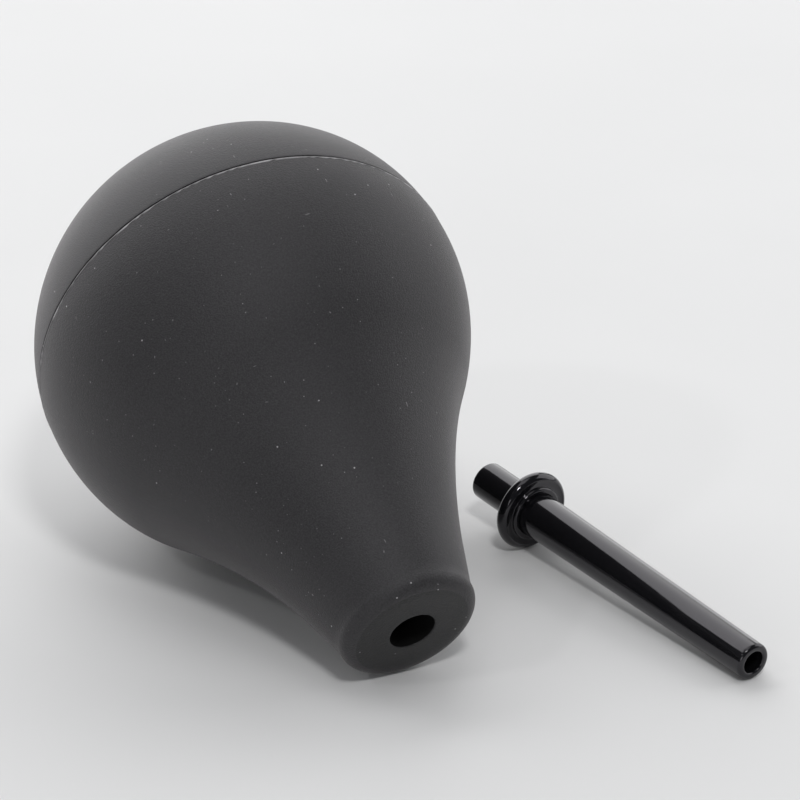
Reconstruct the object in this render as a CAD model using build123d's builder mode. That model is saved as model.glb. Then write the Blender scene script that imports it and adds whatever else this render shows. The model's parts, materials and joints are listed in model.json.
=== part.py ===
from build123d import *
import os
from math import acos, asin, atan2, cos, degrees, hypot, radians, sin, tan

# Rubber squeeze bulb of about 300 ml with a loose push-in nozzle.
# The bulb lies on its belly and its lip with the mouth towards -Y, and the nozzle lies beside it.
# Units are millimetres, +Z is up, z = 0 is the table and the origin is below the middle of the box.

# ---- Bulb: stations run along its axis from the centre of the belly towards the mouth ----
BULB_RADIUS = 43.0
DOME_LENGTH = 41.8  # the dome behind the belly is slightly flattened
DOME_SHOULDER = 41.0  # radius of the dome's round next to the belly
WALL = 3.0
BELLY_END = 53.6  # degrees off the axis, where the round of the belly meets the neck
NECK_RADIUS = 117.0  # of the hollow curve between belly and cone
NECK_SLOPE = 15.6  # degrees, half angle of the neck's cone
LIP_RADIUS = 13.9
LIP_ROUNDING = 2.6
LIP_FLARE = 8.0  # radius of the hollow round between the neck's cone and the lip
MOUTH_FACE = 75.2
MOUTH_WALL = 10.0
CAVITY_ROUNDING = 3.0

# ---- Hole in the mouth: a short lead-in cone, then the bore that grips the nozzle ----
BORE_RADIUS = 3.9
HOLE_RADIUS = 4.6
HOLE_EDGE = 0.4
LEAD_IN = 3.0

# ---- Seam: its plane leans, and the front shell's tongue laps inside the rear shell's rim ----
SEAM = -3.0
SEAM_RISE = 0.123  # how far the seam runs back for each mm upwards
SEAM_SWEEP = 0.062  # and for each mm towards -X
SEAM_GAP = 0.1
LAP = 4.0
LAP_GAP = 0.05

# ---- Nozzle: stations run along its axis from the middle of the collar towards the tip ----
STUB_RADIUS = 3.85
STUB_END = -14.0
STUB_EDGE = 0.4
SEAT_RADIUS = 4.15  # a little wider than the stub, so that the collar is tight only where it sits
ROOT_RADIUS = 4.52
TIP_RADIUS = 3.68
TIP = 67.3
TIP_ROUNDING = 0.8
CHANNEL_RADIUS = 2.2
CHANNEL_ROUNDING = 0.45

# ---- Collar of the nozzle: a full-round rim, a faintly dished front and a ridge round the tube ----
COLLAR_RADIUS = 8.1
COLLAR_HALF = 1.5  # half of its thickness, and the radius of its rim
RIM_TURN = 160.0  # degrees of the rim's round, from the flat back
DISH_EDGE_DROP = 0.13
DISH_EDGE_RADIUS = 7.0
DISH_DEPTH = 0.08
RIDGE_RADIUS = 5.65
RIDGE_END = 2.1
RIDGE_ROUNDING = 0.55

# ---- Place of the nozzle beside the bulb, from the centre of the belly ----
NOZZLE_SIDE = 46.4
NOZZLE_FORWARD = 28.8
NOZZLE_YAW = 10.1  # degrees from -Y towards +X


def heading(yaw, dip):
    """The direction of -Y turned by yaw towards +X, then dipped below the horizon."""
    return Vector(sin(yaw) * cos(dip), -cos(yaw) * cos(dip), -sin(dip))


def profile_plane(origin, axis):
    """A plane for outlines to revolve: x is the station along the axis and y is the radius."""
    return Plane(origin=origin, x_dir=axis, z_dir=axis.cross(Vector(0, 0, 1)))


def reach(station, radius, rounding, lean):
    """How far a rounded rim reaches in a direction that leans this much off the axis."""
    return (station - rounding) * cos(lean) + (radius - rounding) * sin(lean) + rounding


# The dome's cap is a round about the axis that runs smoothly into the round of its shoulder.
shoulder_centre = BULB_RADIUS - DOME_SHOULDER
cap_radius = (DOME_LENGTH**2 + shoulder_centre**2 - DOME_SHOULDER**2) / (
    2 * (DOME_LENGTH - DOME_SHOULDER)
)
cap_centre = cap_radius - DOME_LENGTH
cap_end = degrees(atan2(shoulder_centre, -cap_centre))

# The bulb rests where one straight line touches the belly's round and the lip's round.
lip_station = MOUTH_FACE - LIP_ROUNDING
lip_centre = LIP_RADIUS - LIP_ROUNDING
lip_distance = hypot(lip_station, lip_centre)
bulb_dip = asin((BULB_RADIUS - LIP_ROUNDING) / lip_distance) - atan2(lip_centre, lip_station)

# The nozzle rests where one straight line touches the collar's rim and the tip's round.
rim_centre = COLLAR_RADIUS - COLLAR_HALF
tip_drop = rim_centre - (TIP_RADIUS - TIP_ROUNDING)
tip_station = TIP - TIP_ROUNDING
tip_distance = hypot(tip_station, tip_drop)
nozzle_dip = atan2(tip_drop, tip_station) + asin((COLLAR_HALF - TIP_ROUNDING) / tip_distance)

bulb_axis = heading(0, bulb_dip)
nozzle_axis = heading(radians(NOZZLE_YAW), nozzle_dip)

# The box of the whole object ends at the belly's side, the dome and the nozzle's tip.
dome_reach = cap_radius - cap_centre * cos(bulb_dip)
tip_ahead = NOZZLE_FORWARD + reach(TIP, TIP_RADIUS, TIP_ROUNDING, acos(-nozzle_axis.Y))
tip_aside = NOZZLE_SIDE + reach(TIP, TIP_RADIUS, TIP_ROUNDING, acos(nozzle_axis.X))
bulb_centre = Vector((BULB_RADIUS - tip_aside) / 2, (tip_ahead - dome_reach) / 2, BULB_RADIUS)
collar_centre = Vector(
    bulb_centre.X + NOZZLE_SIDE,
    bulb_centre.Y - NOZZLE_FORWARD,
    rim_centre * cos(nozzle_dip) + COLLAR_HALF,
)

bulb_plane = profile_plane(bulb_centre, bulb_axis)
bulb_over = Vector(-1, 0, 0).cross(bulb_axis)
bulb_line = Axis(bulb_centre, bulb_axis)
nozzle_plane = profile_plane(collar_centre, nozzle_axis)
nozzle_line = Axis(collar_centre, nozzle_axis)


def shoulder(inset, start, end):
    """The dome's round next to the belly, between two stations, set in from the outer skin."""
    radius = DOME_SHOULDER - inset
    first = degrees(acos(start / radius))
    return CenterArc((0, shoulder_centre), radius, first, degrees(acos(end / radius)) - first)


def dome(inset, rim):
    """The dome's outline from its pole to a station near the belly, set in from the skin."""
    cap = CenterArc((cap_centre, 0), cap_radius - inset, 180, cap_end - 180)
    return shoulder(inset, (cap @ 1).X, rim)


def belly_and_neck(inset):
    """The outline from the widest place to the end of the neck's curve, set in from the skin."""
    belly = CenterArc((0, 0), BULB_RADIUS - inset, 90, BELLY_END - 90)
    turn = 90 - BELLY_END - NECK_SLOPE
    return JernArc(belly @ 1, belly % 1, NECK_RADIUS + inset, turn)


def cone(neck, station):
    """The straight cone from the end of the neck's curve to a station."""
    run = (station - (neck @ 1).X) / cos(radians(NECK_SLOPE))
    return Line(neck @ 1, neck @ 1 + (neck % 1) * run)


def seam_plane(back):
    """The leaning plane of the seam, set back along the axis."""
    lean = bulb_over * SEAM_RISE + Vector(-1, 0, 0) * SEAM_SWEEP
    return Plane(origin=bulb_centre + bulb_axis * (SEAM - back), z_dir=bulb_axis + lean)


def dome_and_belly(inset):
    """The solid inside the dome and the near part of the belly, set in from the skin."""
    with BuildPart() as body:
        with BuildSketch(bulb_plane):
            with BuildLine():
                back = dome(inset, 0)
                belly = CenterArc((0, 0), BULB_RADIUS - inset, 90, -25)
                Polyline(belly @ 1, ((belly @ 1).X, 0), (inset - DOME_LENGTH, 0))
            make_face()
        revolve(axis=bulb_line)
    return body.part


# ---- Rear shell: the dome behind the seam, rebated inside its rim for the tongue ----
with BuildPart() as rebate:
    add(dome_and_belly(WALL / 2 - LAP_GAP))
    split(bisect_by=seam_plane(LAP + SEAM_GAP), keep=Keep.TOP)

with BuildPart() as bulb_rear_shell:
    add(dome_and_belly(0))
    split(bisect_by=seam_plane(SEAM_GAP), keep=Keep.BOTTOM)
    add(dome_and_belly(WALL), mode=Mode.SUBTRACT)
    add(rebate.part, mode=Mode.SUBTRACT)
bulb_rear_shell.part.label = "bulb_rear_shell"

# ---- Front shell: belly, neck and thick mouth, with the tongue behind the seam ----
with BuildPart() as tongue:
    add(dome_and_belly(WALL / 2))
    split(bisect_by=seam_plane(LAP), keep=Keep.TOP)

with BuildPart() as bulb_front_shell:
    with BuildSketch(bulb_plane):
        with BuildLine():
            dome(0, 0)
            neck = belly_and_neck(0)
            flare_drop = LIP_FLARE * (1 - cos(radians(NECK_SLOPE)))
            cone_drop = (neck @ 1).Y - LIP_RADIUS - flare_drop
            outer_cone = cone(neck, (neck @ 1).X + cone_drop / tan(radians(NECK_SLOPE)))
            flare = JernArc(outer_cone @ 1, outer_cone % 1, LIP_FLARE, NECK_SLOPE)
            lip = Line(flare @ 1, (lip_station, LIP_RADIUS))
            rounding = JernArc(lip @ 1, lip % 1, LIP_ROUNDING, -90)
            Polyline(rounding @ 1, (MOUTH_FACE, 0), (-DOME_LENGTH, 0))
        make_face()
    revolve(axis=bulb_line)
    split(bisect_by=seam_plane(0), keep=Keep.TOP)
    add(tongue.part)
    with BuildSketch(bulb_plane):
        with BuildLine():
            dome(WALL, 0)
            inner_neck = belly_and_neck(WALL)
            corner_run = CAVITY_ROUNDING * (1 - sin(radians(NECK_SLOPE)))
            inner_cone = cone(inner_neck, MOUTH_FACE - MOUTH_WALL - corner_run)
            corner = JernArc(inner_cone @ 1, inner_cone % 1, CAVITY_ROUNDING, NECK_SLOPE - 90)
            hole_edge = CenterArc(
                (MOUTH_FACE - HOLE_EDGE, HOLE_RADIUS + HOLE_EDGE), HOLE_EDGE, -90, 90
            )
            Polyline(
                corner @ 1,
                (MOUTH_FACE - MOUTH_WALL, BORE_RADIUS),
                (MOUTH_FACE - LEAD_IN, BORE_RADIUS),
                hole_edge @ 0,
            )
            Polyline(hole_edge @ 1, (MOUTH_FACE, 0), (WALL - DOME_LENGTH, 0))
        make_face()
    revolve(axis=bulb_line, mode=Mode.SUBTRACT)
bulb_front_shell.part.label = "bulb_front_shell"

# ---- Nozzle tube: stub, collar's seat, shoulder, tapered tube and the channel through it ----
with BuildPart() as nozzle_tube:
    with BuildSketch(nozzle_plane):
        with BuildLine():
            Polyline(
                (STUB_END, CHANNEL_RADIUS),
                (STUB_END, STUB_RADIUS),
                (-COLLAR_HALF, STUB_RADIUS),
                (-COLLAR_HALF, SEAT_RADIUS),
                (0, SEAT_RADIUS),
                (0, ROOT_RADIUS),
                (TIP, TIP_RADIUS),
                (TIP, CHANNEL_RADIUS),
                close=True,
            )
        make_face()
        stub_corners = vertices().group_by(Axis.X)[0]
        tip_corners = vertices().group_by(Axis.X)[-1]
        fillet(stub_corners.sort_by(Axis.Y)[0], CHANNEL_ROUNDING)
        fillet(stub_corners.sort_by(Axis.Y)[-1], STUB_EDGE)
        fillet(tip_corners.sort_by(Axis.Y)[0], CHANNEL_ROUNDING)
        fillet(tip_corners.sort_by(Axis.Y)[-1], TIP_ROUNDING)
    revolve(axis=nozzle_line)
nozzle_tube.part.label = "nozzle_tube"

# ---- Nozzle collar: pressed over the stub onto its seat, against the tube's shoulder ----
with BuildPart() as nozzle_collar:
    with BuildSketch(nozzle_plane):
        with BuildLine():
            back = Line((-COLLAR_HALF, SEAT_RADIUS), (-COLLAR_HALF, rim_centre))
            rim = CenterArc((0, rim_centre), COLLAR_HALF, 180, -RIM_TURN)
            dish_edge = Line(rim @ 1, ((rim @ 1).X - DISH_EDGE_DROP, DISH_EDGE_RADIUS))
            dish = SagittaArc(dish_edge @ 1, ((dish_edge @ 1).X, RIDGE_RADIUS), DISH_DEPTH)
            ridge = Line(dish @ 1, (RIDGE_END - RIDGE_ROUNDING, RIDGE_RADIUS))
            ridge_round = JernArc(ridge @ 1, ridge % 1, RIDGE_ROUNDING, -90)
            taper = (ROOT_RADIUS - TIP_RADIUS) / TIP
            sleeve = Line((RIDGE_END, ROOT_RADIUS - RIDGE_END * taper), (0, ROOT_RADIUS))
            Line(ridge_round @ 1, sleeve @ 0)
            Polyline(sleeve @ 1, (0, SEAT_RADIUS), back @ 0)
        make_face()
    revolve(axis=nozzle_line)
nozzle_collar.part.label = "nozzle_collar"

os.makedirs("parts", exist_ok=True)
export_step(bulb_rear_shell.part, "parts/bulb_rear_shell.step")
export_step(bulb_front_shell.part, "parts/bulb_front_shell.step")
export_step(nozzle_tube.part, "parts/nozzle_tube.step")
export_step(nozzle_collar.part, "parts/nozzle_collar.step")
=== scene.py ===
import json
import math

import bpy
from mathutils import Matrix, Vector, noise


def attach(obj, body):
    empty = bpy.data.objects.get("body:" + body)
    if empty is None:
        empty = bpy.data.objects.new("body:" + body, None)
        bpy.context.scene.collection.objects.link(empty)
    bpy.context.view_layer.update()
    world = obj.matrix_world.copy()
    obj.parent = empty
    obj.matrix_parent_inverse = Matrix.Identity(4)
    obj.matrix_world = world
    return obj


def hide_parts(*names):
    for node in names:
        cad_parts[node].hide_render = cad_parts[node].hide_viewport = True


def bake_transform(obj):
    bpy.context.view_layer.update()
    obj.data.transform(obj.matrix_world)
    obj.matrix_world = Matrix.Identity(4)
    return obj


# A rubber squeeze bulb with its loose push-in nozzle, in metres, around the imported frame.

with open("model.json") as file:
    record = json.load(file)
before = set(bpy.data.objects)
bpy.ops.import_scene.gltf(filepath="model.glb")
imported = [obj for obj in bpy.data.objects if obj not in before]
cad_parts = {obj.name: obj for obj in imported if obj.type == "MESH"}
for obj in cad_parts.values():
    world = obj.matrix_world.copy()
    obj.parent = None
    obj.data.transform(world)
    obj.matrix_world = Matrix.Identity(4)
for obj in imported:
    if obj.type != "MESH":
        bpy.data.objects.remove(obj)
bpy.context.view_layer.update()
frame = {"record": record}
mounts = {m["name"]: m for m in frame["record"]["mounts"]}

# ---- Bulb: stations run along its axis from the centre of the belly towards the mouth ----
BULB_RADIUS = 0.0430
DOME_LENGTH = 0.0418
DOME_SHOULDER = 0.0410
WALL = 0.0030
BELLY_END = 53.6
NECK_RADIUS = 0.117  # of the hollow curve between the belly and the neck's cone
NECK_SLOPE = 15.6
LIP_RADIUS = 0.0139
LIP_ROUNDING = 0.0026
LIP_EASE = 0.013  # radius of the soft round that leads from the lip's rounding to the face
LIP_EASE_TURN = 10.0
LIP_FLARE = 0.0080
MOUTH_FACE = 0.0752
MOUTH_WALL = 0.0100
CAVITY_ROUNDING = 0.0030
BORE_RADIUS = 0.0039
HOLE_RADIUS = 0.0046
HOLE_EDGE = 0.0002
LEAD_IN = 0.0030
BORE_MIDDLE = MOUTH_FACE - LEAD_IN - (MOUTH_WALL - LEAD_IN) / 2

# ---- Seam between the shells: a leaning groove, with a thin ragged flash on its front edge ----
SEAM = -0.0030
SEAM_RISE = 0.123  # how far the seam runs back for each metre upwards
SEAM_SWEEP = 0.062  # and for each metre towards -X
SEAM_STEADY = 0.0011  # this near the seam, the mesh takes the full lean
SEAM_EASE = 0.022  # beyond it, the lean fades out over this run
SEAM_GAP = 0.00032  # as it shows; the CAD shells are 0.1 mm apart
LAP = 0.0040
LAP_GAP = 0.00005
SEAM_ROUNDING = 0.00025
FLASH_HEIGHT = 0.00014
FLASH_WIDTH = 0.00022
FLASH_SHAPE = ((0.15, 0.7), (0.45, 1.0))  # points of its outline, in shares of width and height
FLASH_RAGGED = 0.0016  # size of its ragged places
FLASH_WORN = 0.2  # the share of its height that is missing on the whole
FLASH_WORN_SWING = 0.4  # and how much more or less is missing from place to place

# ---- The soft bulb isn't quite round: its dome leans to one side and its belly to the other ----
DOME_LEAN = 0.00066
DOME_LEAN_AT = -0.0137
DOME_LEAN_OVER = 0.0113
BELLY_LEAN = -0.00070
BELLY_LEAN_AT = 0.0265
BELLY_LEAN_OVER = 0.0176
HOLLOWS = 0.00010  # depth of the shallow hollows all over the skin
HOLLOW_SIZE = 0.018

# ---- Nozzle: stations run along its axis from the middle of the collar towards the tip ----
STUB_RADIUS = 0.00385
STUB_END = -0.0140
STUB_EDGE = 0.0004
SEAT_RADIUS = 0.00415
ROOT_RADIUS = 0.00452
TIP_RADIUS = 0.00368
TIP = 0.0673
TIP_ROUNDING = 0.0008
CHANNEL_RADIUS = 0.0022
CHANNEL_ROUNDING = 0.00045
COLLAR_HALF = 0.0015
RIM_CENTRE = 0.0066
DISH_EDGE_DROP = 0.00013
DISH_EDGE_RADIUS = 0.0070
DISH_DEPTH = 0.00008
RIDGE_RADIUS = 0.00565
RIDGE_END = 0.0021
RIDGE_ROUNDING = 0.00055
RIDGE_FOOT = 0.00006  # size of the small corner where the dish meets the ridge
STUB_MIDDLE = (STUB_END + STUB_EDGE - COLLAR_HALF) / 2

AROUND = 288  # segments round a bulb shell
AROUND_NOZZLE = 128
TOUCHING = 1e-7  # places closer than this are one place
UP = Vector((0, 0, 1))


# ---- Outlines: lists of (station, radius) ----
def arc(centre, radius, start, end, steps):
    """Points on an arc, with angles in degrees from the axis."""
    turns = [math.radians(start + (end - start) * i / steps) for i in range(steps + 1)]
    return [(centre[0] + radius * math.cos(t), centre[1] + radius * math.sin(t)) for t in turns]


def straight(start, end, steps):
    """Evenly spaced points from start to end."""
    return [
        tuple(a + (b - a) * i / steps for a, b in zip(start, end)) for i in range(steps + 1)
    ]


def joined(*runs):
    """One outline from several runs, without the points that repeat where they meet."""
    points = []
    for run in runs:
        for p in run:
            if not points or math.dist(p, points[-1]) > TOUCHING:
                points.append(p)
    return points


# The dome's flatter cap runs smoothly into its shoulder, and its pole is at the dome's length.
shoulder_centre = BULB_RADIUS - DOME_SHOULDER
cap_radius = (DOME_LENGTH**2 + shoulder_centre**2 - DOME_SHOULDER**2) / (
    2 * (DOME_LENGTH - DOME_SHOULDER)
)
cap_centre = cap_radius - DOME_LENGTH
cap_end = math.degrees(math.atan2(shoulder_centre, -cap_centre))


def shoulder(inset, start, end, steps):
    """The dome's round next to the belly, between two stations."""
    radius = DOME_SHOULDER - inset
    first, last = (math.degrees(math.acos(x / radius)) for x in (start, end))
    return arc((0, shoulder_centre), radius, first, last, steps)


def dome(inset, rim, steps):
    """The dome from its pole to a station near the belly."""
    cap = arc((cap_centre, 0), cap_radius - inset, 180, cap_end, steps)
    pole = (cap_centre - cap_radius + inset, 0)
    return joined([pole], cap, shoulder(inset, cap[-1][0], rim, steps))


def belly_and_neck(inset, end, steps):
    """The belly from its widest place, the neck's curve and its cone as far as a station."""
    belly = arc((0, 0), BULB_RADIUS - inset, 90, BELLY_END, steps)
    far = BULB_RADIUS + NECK_RADIUS
    turn = math.radians(BELLY_END)
    centre = (far * math.cos(turn), far * math.sin(turn))
    neck = arc(centre, NECK_RADIUS + inset, 180 + BELLY_END, 270 - NECK_SLOPE, steps)
    start = neck[-1]
    drop = (end - start[0]) * math.tan(math.radians(NECK_SLOPE))
    return joined(belly, neck, straight(start, (end, start[1] - drop), max(2, steps // 6)))


# ---- Meshes ----
def lathe(name, outline, origin, axis, around, closed, changes=()):
    """A mesh of an outline turned about an axis. Its ends lie on the axis unless it is closed.

    At each of the outline's points in changes, the faces go over to the next material.
    """
    side = axis.cross(UP).normalized()
    over = side.cross(axis)
    vertices, rings = [], []
    for station, radius in outline:
        count = 1 if radius < TOUCHING else around
        rings.append((len(vertices), count))
        for i in range(count):
            t = 2 * math.pi * i / around
            spoke = over * math.cos(t) + side * math.sin(t)
            vertices.append(origin + axis * station + spoke * radius)
    faces = []
    pairs = list(zip(rings, rings[1:] + rings[:1])) if closed else list(zip(rings, rings[1:]))
    for (a, a_count), (b, b_count) in pairs:
        for i in range(around):
            j = (i + 1) % around
            corners = [a + i % a_count, a + j % a_count, b + j % b_count, b + i % b_count]
            faces.append(list(dict.fromkeys(corners)))
    mesh = bpy.data.meshes.new(name)
    mesh.from_pydata(vertices, [], faces)
    slots = [sum(i // around >= point for point in changes) for i in range(len(faces))]
    mesh.polygons.foreach_set("material_index", slots)
    piece = bpy.data.objects.new(name, mesh)
    bpy.context.scene.collection.objects.link(piece)
    return piece


def station_and_spoke(point):
    """A point's station along the bulb's axis, and the vector from the axis to it."""
    station = (point - bulb_centre).dot(bulb_axis)
    return station, point - bulb_centre - bulb_axis * station


def skin_radius(station):
    """The bulb's radius near the seam, on the dome's shoulder or on the belly."""
    if station < 0:
        return shoulder_centre + math.sqrt(DOME_SHOULDER**2 - station**2)
    return math.sqrt(BULB_RADIUS**2 - station**2)


def lean_seam(point, station, spoke):
    """A point near the seam, moved along the skin so that the seam lies in its leaning plane."""
    away = max(0.0, min(1.0, (abs(station - SEAM) - SEAM_STEADY) / SEAM_EASE))
    ease = 1 - away * away * (3 - 2 * away)
    if ease == 0:
        return point
    side = bulb_axis.cross(UP).normalized()
    shift = -ease * (SEAM_RISE * spoke.dot(side.cross(bulb_axis)) + SEAM_SWEEP * spoke.dot(side))
    swell = skin_radius(station + shift) / skin_radius(station)
    return point + bulb_axis * shift + spoke * (swell - 1)


def soften(piece):
    """Gives a bulb shell its leaning seam, its sway and its shallow hollows, and a ragged flash."""
    flash_dust_and_highlight = piece.data.attributes.new("flash_dust_and_highlight", "FLOAT", "POINT")
    for index, vertex in enumerate(piece.data.vertices):
        station, spoke = station_and_spoke(vertex.co)
        ragged = 0
        # Flash points are marked for their pale paint: partly dust, partly a painted highlight
        # along the seam's front edge.
        if SEAM < station < SEAM + FLASH_WIDTH and spoke.length > skin_radius(station):
            flash_dust_and_highlight.data[index].value = 1.0
            ragged = FLASH_WORN + FLASH_WORN_SWING * noise.noise(vertex.co / FLASH_RAGGED)
            ragged *= spoke.length - skin_radius(station)
        vertex.co = lean_seam(vertex.co, station, spoke)
        station, spoke = station_and_spoke(vertex.co)
        if spoke.length > LIP_RADIUS / 2:  # the bore stays round
            hollow = HOLLOWS * (0.5 + 0.5 * noise.noise(vertex.co / HOLLOW_SIZE))
            vertex.co -= spoke.normalized() * (hollow + ragged)
        dome_sway = 0.5 * DOME_LEAN * (1 - math.tanh((station - DOME_LEAN_AT) / DOME_LEAN_OVER))
        belly_sway = BELLY_LEAN * math.exp(-(((station - BELLY_LEAN_AT) / BELLY_LEAN_OVER) ** 2))
        vertex.co.x += dome_sway + belly_sway


def finish_mesh(piece, materials):
    """Outward normals, smooth shading, the materials, and the rest places that they read."""
    bpy.context.view_layer.objects.active = piece
    piece.select_set(True)
    bpy.ops.object.mode_set(mode="EDIT")
    bpy.ops.mesh.select_all(action="SELECT")
    bpy.ops.mesh.normals_make_consistent(inside=False)
    bpy.ops.object.mode_set(mode="OBJECT")
    piece.select_set(False)
    mesh = piece.data
    mesh.polygons.foreach_set("use_smooth", [True] * len(mesh.polygons))
    rest = mesh.attributes.new("rest", "FLOAT_VECTOR", "POINT")
    rest.data.foreach_set("vector", [c for v in mesh.vertices for c in v.co])
    for material in materials:
        mesh.materials.append(material)


# ---- Materials ----
# Pale grey of the dust specks; on the seam's flash it is also a painted highlight.
DUST_AND_HIGHLIGHT = (0.42, 0.41, 0.42, 1)
GRAIN = 3200  # noise scale of the moulded grain, which is about 0.3 mm
LINT_BEND = 0.0016  # how far the noise bends a fibre


class Shader:
    """A node material with a Principled shader, and short calls for the nodes that feed it."""

    def __init__(self, name, **constants):
        self.material = bpy.data.materials.new(name)
        self.material.use_nodes = True
        self.tree = self.material.node_tree
        self.principled = self.tree.nodes["Principled BSDF"]
        for socket, value in constants.items():
            self.principled.inputs[socket.replace("_", " ")].default_value = value

    def node(self, kind, settings=None, **inputs):
        """A node with its settings, and its inputs given as values or as sockets to link."""
        made = self.tree.nodes.new(kind)
        for key, value in (settings or {}).items():
            setattr(made, key, value)
        for key, value in inputs.items():
            self.feed(made, key.replace("_", " "), value)
        return made

    def feed(self, node, key, value):
        socket = node.inputs[int(key[3:]) if key.startswith("at ") else key]
        if isinstance(value, bpy.types.NodeSocket):
            self.tree.links.new(value, socket)
        else:
            socket.default_value = value

    def rest(self, scale=(1, 1, 1)):
        """The place on the piece at rest, in metres, so a pose doesn't slide the pattern."""
        place = self.node("ShaderNodeAttribute", {"attribute_name": "rest"}).outputs["Vector"]
        scaled = self.node(
            "ShaderNodeVectorMath", {"operation": "MULTIPLY"}, at_0=place, at_1=scale
        )
        return scaled.outputs["Vector"]

    def noise(self, place, scale, detail=2.0, roughness=0.5):
        made = self.node(
            "ShaderNodeTexNoise", Vector=place, Scale=scale, Detail=detail, Roughness=roughness
        )
        return made.outputs["Fac"]

    def ramp(self, value, low, high, to_low=0.0, to_high=1.0):
        made = self.node("ShaderNodeMapRange", Value=value)
        ends = {"From Min": low, "From Max": high, "To Min": to_low, "To Max": to_high}
        for key, number in ends.items():
            made.inputs[key].default_value = number
        return made.outputs["Result"]

    def math(self, operation, a, b):
        made = self.node("ShaderNodeMath", {"operation": operation}, at_0=a, at_1=b)
        return made.outputs["Value"]

    def mix(self, factor, a, b):
        made = self.node("ShaderNodeMix", {"data_type": "RGBA"}, at_0=factor, at_6=a, at_7=b)
        return made.outputs[2]


def specks(shader, place, spacing, size, share):
    """Specks of about this size, near the middles of a share of the cells of this spacing."""
    cells = shader.node("ShaderNodeTexVoronoi", Vector=place, Scale=1 / spacing)
    near = shader.ramp(cells.outputs["Distance"], 0.6 * size / spacing, 0.4 * size / spacing)
    lucky = shader.math("LESS_THAN", cells.outputs["Color"], share)
    return shader.math("MULTIPLY", near, lucky)


def lint(shader, stretch, share):
    """Short curved fibres, which are specks drawn out along one direction and bent by a noise."""
    bend = shader.node("ShaderNodeTexNoise", Vector=shader.rest(), Scale=420.0, Detail=1.0)
    shift = shader.node(
        "ShaderNodeVectorMath",
        {"operation": "MULTIPLY_ADD"},
        at_0=bend.outputs["Color"],
        at_1=(LINT_BEND, LINT_BEND, LINT_BEND),
        at_2=shader.rest(),
    )
    drawn = shader.node(
        "ShaderNodeVectorMath",
        {"operation": "MULTIPLY"},
        at_0=shift.outputs["Vector"],
        at_1=stretch,
    )
    return specks(shader, drawn.outputs["Vector"], spacing=0.0014, size=0.00018, share=share)


def matt_rubber():
    """Matt black rubber: moulded grain, faint clouding, dust, lint, and a pale flash at the seam,
    partly dust and partly a painted highlight.
    """
    s = Shader(
        "matt_rubber",
        Specular_IOR_Level=0.5,
        Specular_Tint=(1.0, 0.985, 1.02, 1),
        Sheen_Weight=0.20,
        Sheen_Roughness=0.4,
        Sheen_Tint=(1.0, 0.96, 0.97, 1),
    )
    place = s.rest()
    cloud = s.noise(place, 40, 4)
    grain = s.noise(place, GRAIN, 2, 0.6)
    dark, light = (0.010, 0.0096, 0.0104, 1), (0.016, 0.0155, 0.0165, 1)
    base = s.mix(s.ramp(cloud, 0.35, 0.65), dark, light)
    mottled = s.mix(s.ramp(grain, 0.35, 0.75, 0.0, 0.75), base, (0.038, 0.037, 0.039, 1))
    patches = s.ramp(s.noise(place, 70, 2), 0.42, 0.62, 0.25, 1.0)
    faint = specks(s, place, spacing=0.0013, size=0.00023, share=0.37)
    for stretch in ((1, 0.14, 0.5), (0.16, 0.8, 0.8)):
        faint = s.math("MAXIMUM", faint, lint(s, stretch, 0.36))
    dusty = s.mix(s.math("MULTIPLY", faint, s.math("MULTIPLY", patches, 0.45)), mottled, DUST_AND_HIGHLIGHT)
    large = specks(s, place, spacing=0.0031, size=0.00031, share=0.36)
    bright = s.math("MULTIPLY", large, 0.9)
    dusty = s.mix(bright, dusty, DUST_AND_HIGHLIGHT)
    # The flash is painted pale: partly dust in it, partly a painted highlight along the seam's
    # front edge.
    flash_dust_and_highlight = s.node("ShaderNodeAttribute", {"attribute_name": "flash_dust_and_highlight"}).outputs["Fac"]
    flash_dust_and_highlight_mix = s.math("MULTIPLY", flash_dust_and_highlight, s.ramp(s.noise(place, 260, 3), 0.3, 0.6, 0.45, 1.0))
    s.feed(s.principled, "Base Color", s.mix(flash_dust_and_highlight_mix, dusty, DUST_AND_HIGHLIGHT))
    s.feed(s.principled, "Roughness", s.ramp(cloud, 0.3, 0.7, 0.55, 0.62))
    bump = s.node("ShaderNodeBump", Strength=1.0, Distance=0.00010, Height=grain)
    s.feed(s.principled, "Normal", bump.outputs["Normal"])
    return s.material


def shaded_mouth_rubber():
    """A darker, less shiny copy of the rubber for the mouth's face: painted shade, with fewer dust
    specks.
    """
    s = Shader("shaded_mouth_rubber", Specular_IOR_Level=0.44, Sheen_Weight=0.08, Sheen_Roughness=0.4)
    place = s.rest()
    grain = s.noise(place, GRAIN, 2, 0.6)
    dark, light = (0.008, 0.008, 0.008, 1), (0.030, 0.029, 0.031, 1)
    base = s.mix(s.ramp(grain, 0.35, 0.75, 0.0, 0.8), dark, light)
    large = specks(s, place, spacing=0.0022, size=0.00028, share=0.45)
    bright = s.math("MULTIPLY", large, 0.8)
    s.feed(s.principled, "Base Color", s.mix(bright, base, DUST_AND_HIGHLIGHT))
    s.feed(s.principled, "Roughness", s.ramp(s.noise(place, 60, 3), 0.3, 0.7, 0.52, 0.60))
    bump = s.node("ShaderNodeBump", Strength=1.0, Distance=0.00011, Height=grain)
    s.feed(s.principled, "Normal", bump.outputs["Normal"])
    return s.material


def shaded_recess_rubber():
    """A near-black copy of the rubber for the hole, the cavity and the seam's gap: painted shade in
    these recesses.
    """
    s = Shader("shaded_recess_rubber", Specular_IOR_Level=0.12)
    grain = s.noise(s.rest(), 900, 3)
    dark, light = (0.001, 0.001, 0.001, 1), (0.003, 0.003, 0.003, 1)
    s.feed(s.principled, "Base Color", s.mix(grain, dark, light))
    s.feed(s.principled, "Roughness", s.ramp(grain, 0.3, 0.7, 0.75, 0.85))
    return s.material


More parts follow.
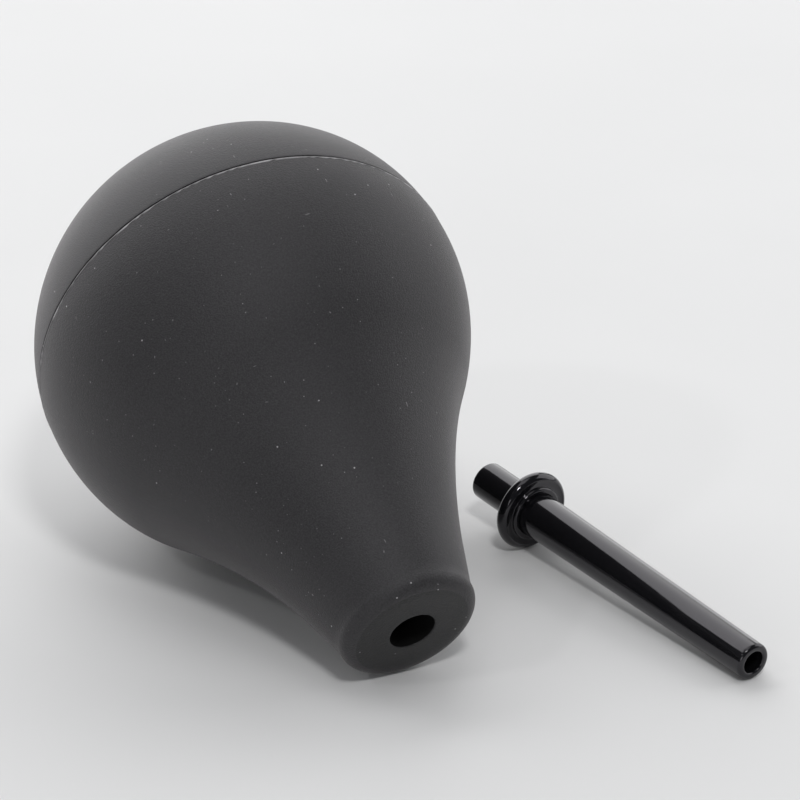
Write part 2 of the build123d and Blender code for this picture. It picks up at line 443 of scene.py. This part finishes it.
def polished_plastic():
    """Polished black plastic with the faint waves and hairline scuffs of a moulded part."""
    s = Shader("polished_plastic", Specular_IOR_Level=0.6, Specular_Tint=(0.97, 0.94, 1.0, 1))
    place = s.rest()
    cloud = s.noise(place, 120, 3)
    scuff = s.noise(s.rest((1.0, 0.1, 1.0)), 2600, 4, 0.65)
    dark, light = (0.004, 0.004, 0.005, 1), (0.007, 0.007, 0.008, 1)
    s.feed(s.principled, "Base Color", s.mix(cloud, dark, light))
    s.feed(s.principled, "Roughness", s.ramp(scuff, 0.45, 0.75, 0.07, 0.16))
    waves = s.node("ShaderNodeBump", Strength=0.15, Distance=0.00004, Height=s.noise(place, 500, 2))
    s.feed(s.principled, "Normal", waves.outputs["Normal"])
    return s.material


def pale_floor():
    """A plain pale studio floor with a very faint unevenness."""
    s = Shader("pale_floor", Roughness=0.75, Specular_IOR_Level=0.2)
    place = s.node("ShaderNodeTexCoord").outputs["Object"]
    dark, light = (0.74, 0.74, 0.74, 1), (0.78, 0.78, 0.78, 1)
    s.feed(s.principled, "Base Color", s.mix(s.noise(place, 12, 3), dark, light))
    return s.material


# ---- Placing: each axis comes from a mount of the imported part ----
bore, stub = mounts["mouth_bore"], mounts["nozzle_stub"]
bulb_axis = Vector(bore["axis"]).normalized()
bulb_centre = Vector(bore["pos_m"]) - bulb_axis * BORE_MIDDLE
nozzle_axis = -Vector(stub["axis"]).normalized()
collar_centre = Vector(stub["pos_m"]) - nozzle_axis * STUB_MIDDLE


# ---- Bulb shells ----
def rear_shell():
    """The dome, with a softly rounded edge at the seam and the rebate for the tongue."""
    edge = SEAM - SEAM_GAP
    skin = dome(0, edge - SEAM_ROUNDING, 60)
    top = skin[-1]
    corner = arc((top[0], top[1] - SEAM_ROUNDING), SEAM_ROUNDING, 90, 0, 6)
    rebate = shoulder(WALL / 2 - LAP_GAP, edge, edge - LAP, 6)
    lining = dome(WALL, edge - LAP, 24)[::-1]
    outline = joined(skin, corner, rebate, lining)
    # From here on the faces take the near-black copy of the rubber, painted shade in the seam's gap
    # and inside the dome.
    shaded_from = len(skin) + 2  # inside the seam, the faces go straight to the third material
    return lathe("bulb_dome", outline, bulb_centre, bulb_axis, AROUND, False, [shaded_from, shaded_from])


def front_shell():
    """Belly, neck and mouth, with the flash at the seam, the hole, the bore and the cavity."""
    foot = shoulder(0, SEAM, 0, 1)[0]
    crest = [(SEAM + x * FLASH_WIDTH, foot[1] + y * FLASH_HEIGHT) for x, y in FLASH_SHAPE]
    front_foot = (SEAM + FLASH_WIDTH, shoulder(0, SEAM + FLASH_WIDTH, 0, 1)[0][1])
    flash = [(SEAM, foot[1] - SEAM_ROUNDING), *crest, front_foot]
    slope = math.radians(NECK_SLOPE)
    neck_end = belly_and_neck(0, 0, 1)[2]
    cone_drop = neck_end[1] - LIP_RADIUS - LIP_FLARE * (1 - math.cos(slope))
    cone_end = neck_end[0] + cone_drop / math.tan(slope)
    skin = joined(shoulder(0, SEAM + 2 * FLASH_WIDTH, 0, 5), belly_and_neck(0, cone_end, 56))
    flare_centre = (cone_end + LIP_FLARE * math.sin(slope), LIP_RADIUS + LIP_FLARE)
    flare = arc(flare_centre, LIP_FLARE, 270 - NECK_SLOPE, 270, 8)
    turn = math.radians(LIP_EASE_TURN)
    ease_back = (LIP_EASE - LIP_ROUNDING) * (1 - math.cos(turn))
    lip_centre = (MOUTH_FACE - LIP_ROUNDING - ease_back, LIP_RADIUS - LIP_ROUNDING)
    lip = arc(lip_centre, LIP_ROUNDING, 90, LIP_EASE_TURN, 18)
    ease_in = (LIP_EASE - LIP_ROUNDING) * math.sin(turn)
    ease_centre = (MOUTH_FACE - LIP_EASE, lip_centre[1] - ease_in)
    ease = arc(ease_centre, LIP_EASE, LIP_EASE_TURN, 0, 8)
    face = straight(ease[-1], (MOUTH_FACE, HOLE_RADIUS + HOLE_EDGE), 8)
    hole = arc((MOUTH_FACE - HOLE_EDGE, HOLE_RADIUS + HOLE_EDGE), HOLE_EDGE, 0, -90, 4)
    bore_wall = [
        (MOUTH_FACE - LEAD_IN, BORE_RADIUS),
        (MOUTH_FACE - MOUTH_WALL, BORE_RADIUS),
    ]
    corner_run = CAVITY_ROUNDING * (1 - math.sin(slope))
    lining = belly_and_neck(WALL, MOUTH_FACE - MOUTH_WALL - corner_run, 24)
    corner_centre = (
        lining[-1][0] - CAVITY_ROUNDING * math.sin(slope),
        lining[-1][1] - CAVITY_ROUNDING * math.cos(slope),
    )
    corner = arc(corner_centre, CAVITY_ROUNDING, 90 - NECK_SLOPE, 0, 8)
    inside = joined(shoulder(WALL, SEAM - LAP, 0, 6), lining, corner)[::-1]
    tongue = shoulder(WALL / 2, SEAM - LAP, SEAM, 6)
    matt_run = joined(flash, skin, flare, lip)
    outside = joined(matt_run, ease, face, hole)
    outline = joined(outside, bore_wall, inside, tongue)
    # The mouth's face takes the darker copy, painted shade; from the hole's edge on, the near-black
    # copy, painted shade in the recesses.
    changes = [len(matt_run), len(outside) - 1]
    return lathe("bulb_belly", outline, bulb_centre, bulb_axis, AROUND, True, changes)


# ---- Nozzle ----
def nozzle_tube():
    """Stub, tapered tube and channel, with the shoulder that the collar sits against."""
    slope = (TIP_RADIUS - ROOT_RADIUS) / TIP
    tip_top = (TIP - TIP_ROUNDING, TIP_RADIUS - TIP_ROUNDING * slope)
    inner_tip, inner_stub = TIP - CHANNEL_ROUNDING, STUB_END + CHANNEL_ROUNDING
    inner_edge = CHANNEL_RADIUS + CHANNEL_ROUNDING
    outline = joined(
        arc((STUB_END + STUB_EDGE, STUB_RADIUS - STUB_EDGE), STUB_EDGE, 180, 90, 6),
        straight((STUB_END + STUB_EDGE, STUB_RADIUS), (-COLLAR_HALF, STUB_RADIUS), 6),
        [(-COLLAR_HALF, SEAT_RADIUS), (0, SEAT_RADIUS)],
        straight((0, ROOT_RADIUS), tip_top, 24),
        arc((tip_top[0], tip_top[1] - TIP_ROUNDING), TIP_ROUNDING, 90, 0, 10),
        arc((inner_tip, inner_edge), CHANNEL_ROUNDING, 0, -90, 8),
        straight((inner_tip, CHANNEL_RADIUS), (inner_stub, CHANNEL_RADIUS), 12),
        arc((inner_stub, inner_edge), CHANNEL_ROUNDING, 270, 180, 8),
    )
    return lathe("nozzle_body", outline, collar_centre, nozzle_axis, AROUND_NOZZLE, True)


def nozzle_collar():
    """The collar: full-round rim, small step, faintly dished front and a ridge round the tube."""
    rim = arc((0, RIM_CENTRE), COLLAR_HALF, 180, 20, 26)
    dish_edge = rim[-1][0] - DISH_EDGE_DROP
    dish_end = (0, RIDGE_RADIUS + RIDGE_FOOT)
    steps = 16
    dish = [
        (dish_edge - DISH_DEPTH * math.sin(math.pi * k / steps), radius)
        for k, (_, radius) in enumerate(straight((0, DISH_EDGE_RADIUS), dish_end, steps))
    ]
    ridge_centre = (RIDGE_END - RIDGE_ROUNDING, RIDGE_RADIUS - RIDGE_ROUNDING)
    slope = (TIP_RADIUS - ROOT_RADIUS) / TIP
    outline = joined(
        [(-COLLAR_HALF, SEAT_RADIUS)],
        rim,
        dish,
        [(dish_edge + RIDGE_FOOT, RIDGE_RADIUS)],
        arc(ridge_centre, RIDGE_ROUNDING, 90, 0, 10),
        straight((RIDGE_END, ridge_centre[1]), (RIDGE_END, ROOT_RADIUS + RIDGE_END * slope), 3),
        [(0, ROOT_RADIUS), (0, SEAT_RADIUS)],
    )
    return lathe("nozzle_ring", outline, collar_centre, nozzle_axis, AROUND_NOZZLE, True)


def dress(maker, materials, slot, node):
    """Makes a piece, finishes it, and lets it stand for a CAD node."""
    piece = maker()
    if slot == "bulb_rubber":
        soften(piece)
    finish_mesh(piece, materials)
    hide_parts(node)
    return piece


# Matt rubber, then its darker copy for the mouth's face and its near-black copy for the hole,
# cavity and seam's gap: both painted shade.
rubber = matt_rubber(), shaded_mouth_rubber(), shaded_recess_rubber()
plastic = (polished_plastic(),)
rear = dress(rear_shell, rubber, "bulb_rubber", "bulb_rear_shell")
front = dress(front_shell, rubber, "bulb_rubber", "bulb_front_shell")
tube = dress(nozzle_tube, plastic, "nozzle_plastic", "nozzle_tube")
collar = dress(nozzle_collar, plastic, "nozzle_plastic", "nozzle_collar")
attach(rear, "rear")
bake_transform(front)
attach(tube, "nozzle")
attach(collar, "nozzle")


# ---- Stage: floor, light and camera ----
CAMERA_AZIMUTH = -26.9
CAMERA_ELEVATION = 25.9
CAMERA_DISTANCE = 0.9505
CAMERA_LENS = 202.5
AIM_FROM_BULB = (0.0534, 0.0420)
LAMP_DISTANCE = 1.5
FLOOR_HALF = 4.0  # half the floor's width

target = Vector((bulb_centre.x + AIM_FROM_BULB[0], bulb_centre.y + AIM_FROM_BULB[1], 0))


def around_target(azimuth, elevation, distance):
    """A point seen from the target at this azimuth, 0 along -Y, and elevation, in degrees."""
    a, e = math.radians(azimuth), math.radians(elevation)
    away = Vector((math.sin(a) * math.cos(e), -math.cos(a) * math.cos(e), math.sin(e)))
    return target + away * distance


def aimed(thing, place):
    """Puts a camera or a lamp at a place and points it at the target."""
    thing.location = place
    thing.rotation_euler = (target - place).to_track_quat("-Z", "Y").to_euler()
    bpy.context.scene.collection.objects.link(thing)


def softbox(name, azimuth, elevation, width, height, watts):
    """A rectangular area lamp aimed at the object."""
    lamp = bpy.data.lights.new(name, "AREA")
    lamp.shape = "RECTANGLE"
    lamp.size, lamp.size_y = width, height
    lamp.energy = watts
    aimed(bpy.data.objects.new(name, lamp), around_target(azimuth, elevation, LAMP_DISTANCE))


def floor(material):
    """A large flat floor under everything."""
    mesh = bpy.data.meshes.new("floor")
    corners = [(x * FLOOR_HALF, y * FLOOR_HALF, 0) for x, y in ((-1, -1), (1, -1), (1, 1), (-1, 1))]
    mesh.from_pydata(corners, [], [(0, 1, 2, 3)])
    mesh.materials.append(material)
    plane = bpy.data.objects.new("floor", mesh)
    bpy.context.scene.collection.objects.link(plane)


floor(pale_floor())
# Each lamp's azimuth, elevation, width, height and watts.
softbox("back_low", 180, 12, 3.4, 0.8, 16)
softbox("back_high", 180, 47, 2.4, 1.09, 17)
softbox("right_panel", 90, 25, 1.5, 1.2, 8.8)
softbox("top_box", CAMERA_AZIMUTH, 86, 0.9, 0.9, 3.2)
softbox("front_box", -42, 14, 0.5, 0.5, 2.0)
softbox("key_lamp", -18, 52, 0.2, 0.2, 5.4)
softbox("side_lamp", -80, 43, 0.08, 0.08, 1.1)

world = bpy.data.worlds.new("studio")
world.use_nodes = True
world.node_tree.nodes["Background"].inputs["Color"].default_value = (0.9, 0.93, 1.0, 1)
world.node_tree.nodes["Background"].inputs["Strength"].default_value = 0.10
bpy.context.scene.world = world
bpy.context.scene.view_settings.view_transform = "Standard"

camera_data = bpy.data.cameras.new("camera")
camera_data.lens = CAMERA_LENS
camera_data.sensor_width = 36
camera_data.clip_end = 20
camera = bpy.data.objects.new("camera", camera_data)
aimed(camera, around_target(CAMERA_AZIMUTH, CAMERA_ELEVATION, CAMERA_DISTANCE))
bpy.context.scene.camera = camera
